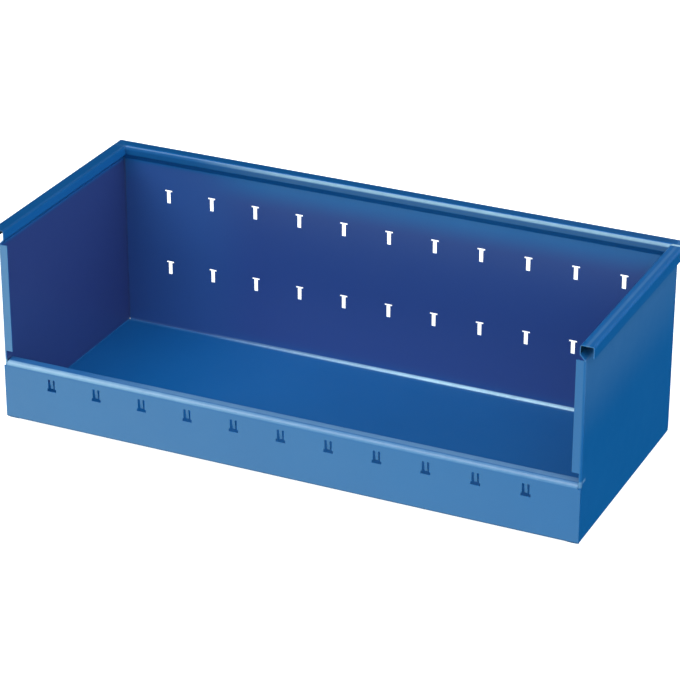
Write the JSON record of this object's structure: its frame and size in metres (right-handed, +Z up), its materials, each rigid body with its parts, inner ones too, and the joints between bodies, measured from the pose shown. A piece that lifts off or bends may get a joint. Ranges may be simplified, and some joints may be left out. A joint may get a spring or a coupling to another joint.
{
  "type": "open-fronted steel storage bin",
  "caption": "Long open-fronted storage bin of folded steel sheet, with a rolled rim on three sides, a low front lip and slots for divider plates.",
  "frame": {"origin": "middle of the bounding box at the resting face, under the middle of the bin", "axes": "+X along the width to the right end seen from the front, +Y from the front lip to the back wall, +Z up"},
  "size_m": [0.621, 0.2594, 0.203],
  "materials": {
    "blue_paint": "semi-gloss baked enamel with a fine orange peel",
    "weld_steel": "bare"
  },
  "bodies": {
    "root": {"tray_sheet": "blue_paint", "left_end_panel": "blue_paint", "right_end_panel": "blue_paint", "left_rim_corner_weld": "blue_paint", "right_rim_corner_weld": "blue_paint", "left_floor_spot_welds": "weld_steel", "right_floor_spot_welds": "weld_steel", "left_back_spot_welds": "weld_steel", "right_back_spot_welds": "weld_steel", "left_lip_spot_welds": "weld_steel", "right_lip_spot_welds": "weld_steel"}
  },
  "joints": []
}
